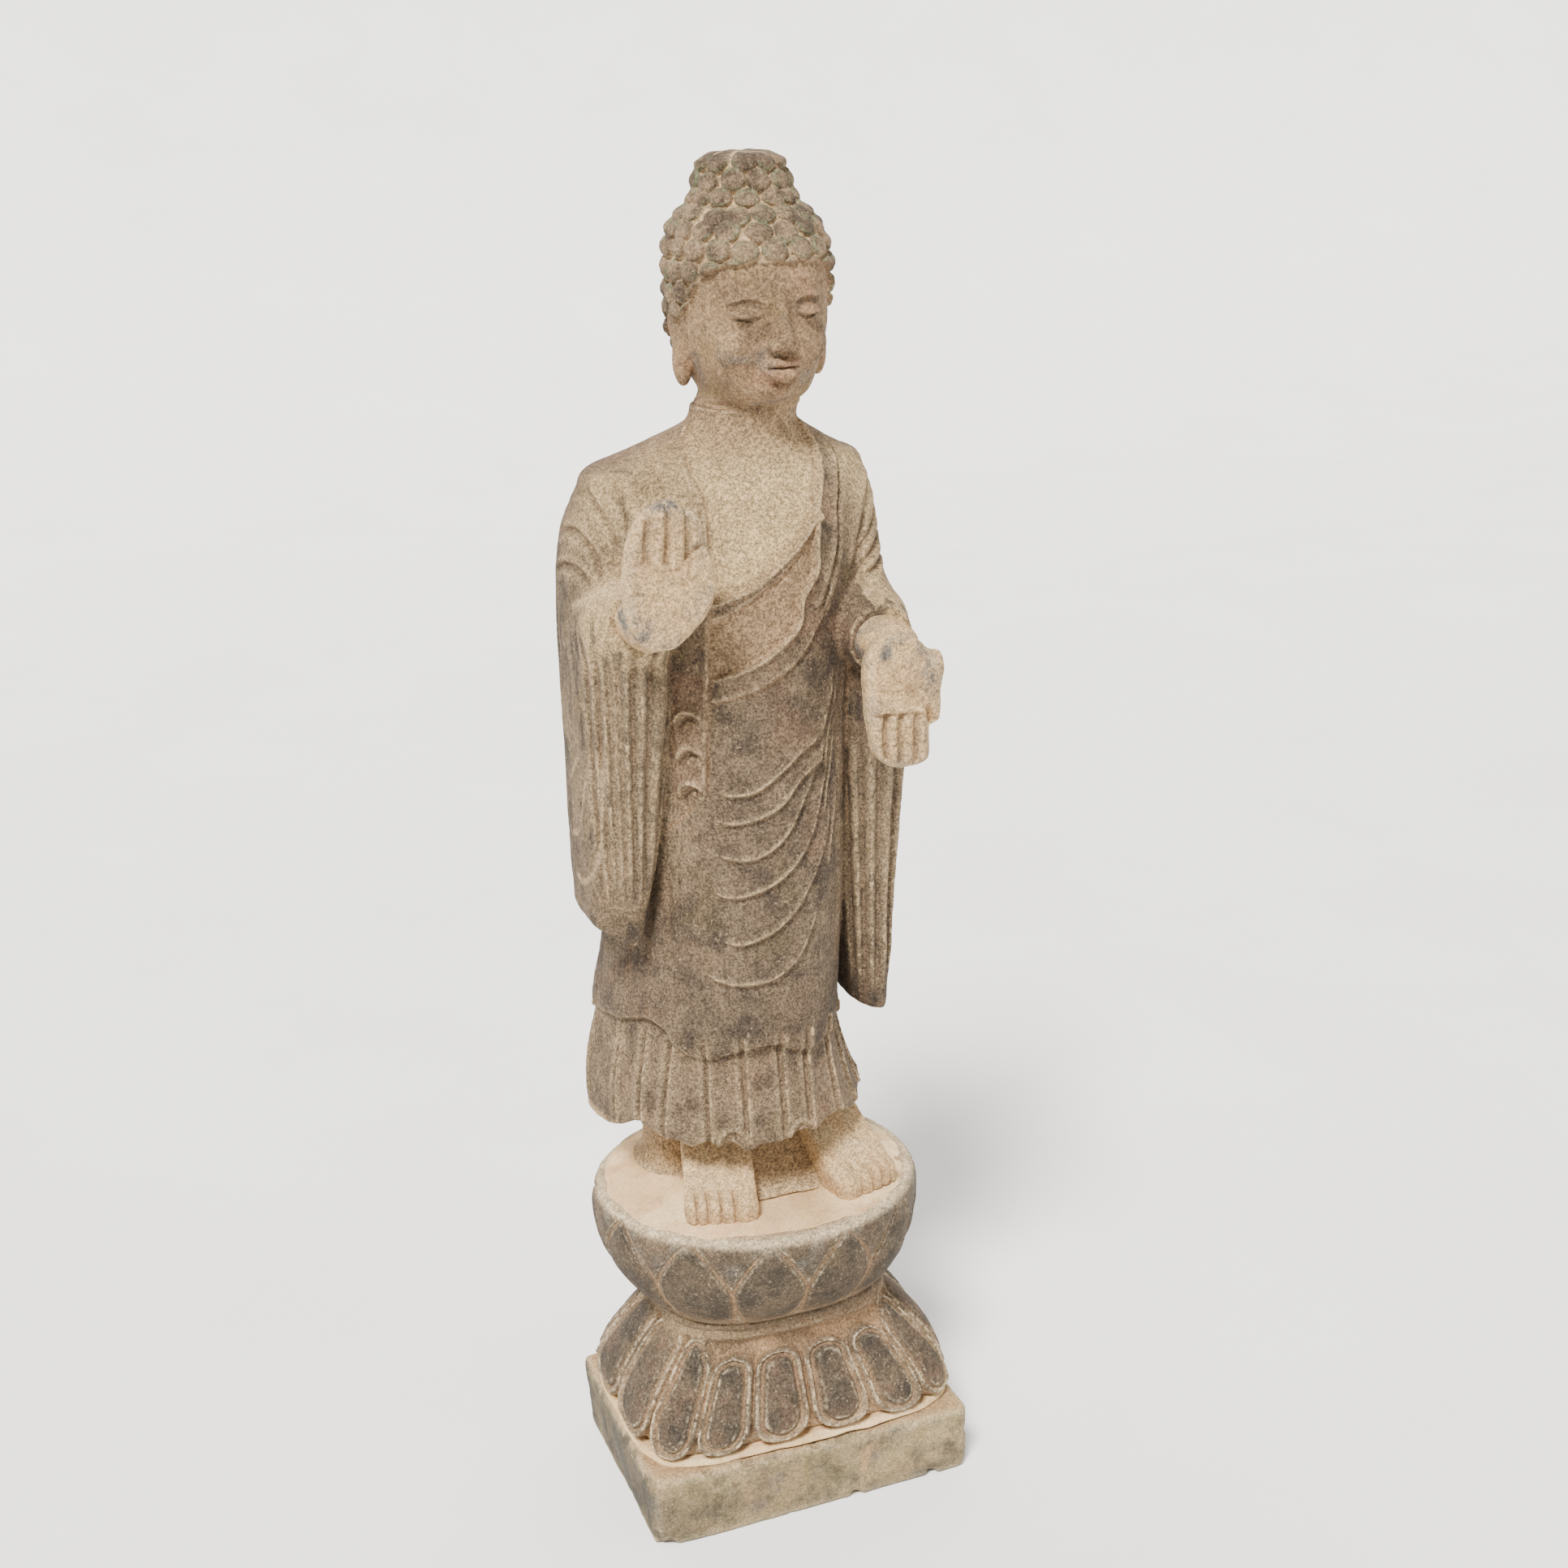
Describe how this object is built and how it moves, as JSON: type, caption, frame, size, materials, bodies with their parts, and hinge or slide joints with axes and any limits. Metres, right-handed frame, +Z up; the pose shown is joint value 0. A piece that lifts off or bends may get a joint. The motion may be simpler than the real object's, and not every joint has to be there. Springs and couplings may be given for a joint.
{
  "type": "standing buddha statue",
  "caption": "Standing Buddha of carved sandstone in a draped robe, one hand raised and one lowered, on a two-tier lotus pedestal and a low plinth; rests on the floor.",
  "frame": {"origin": "on the floor, at the middle of the plinth's underside", "axes": "+Z up through the figure; the figure faces -Y; its raised right hand is at -X"},
  "size_m": [0.3192, 0.3012, 1.2002],
  "materials": {
    "robe_stone": "coarse tooled sandstone with a brown-grey patina and pale clay in the grooves",
    "skin_stone": "coarse sandstone, paler, with worn blue-grey high spots",
    "lotus_stone": "carved sandstone with dark weathered petal faces and clay in the recesses",
    "plinth_stone": "dressed sandstone, smoother, pitted, with dark stained arrises",
    "clay": "matt orange clay bedding, smeared by hand",
    "dowel_steel": "plain round steel bar"
  },
  "bodies": {
    "root": {"plinth": "plinth_stone", "plinth_bedding": "clay", "lower_lotus": "lotus_stone", "lotus_bedding": "clay", "upper_lotus": "lotus_stone", "pedestal_dowel": "dowel_steel", "figure_bedding": "clay", "right_foot": "skin_stone", "left_foot": "skin_stone", "robed_figure": "robe_stone", "neck_bedding": "clay", "neck_dowel": "dowel_steel", "head": "skin_stone", "right_hand": "skin_stone", "right_hand_dowel": "dowel_steel", "left_hand": "skin_stone", "left_hand_dowel": "dowel_steel"}
  },
  "joints": []
}
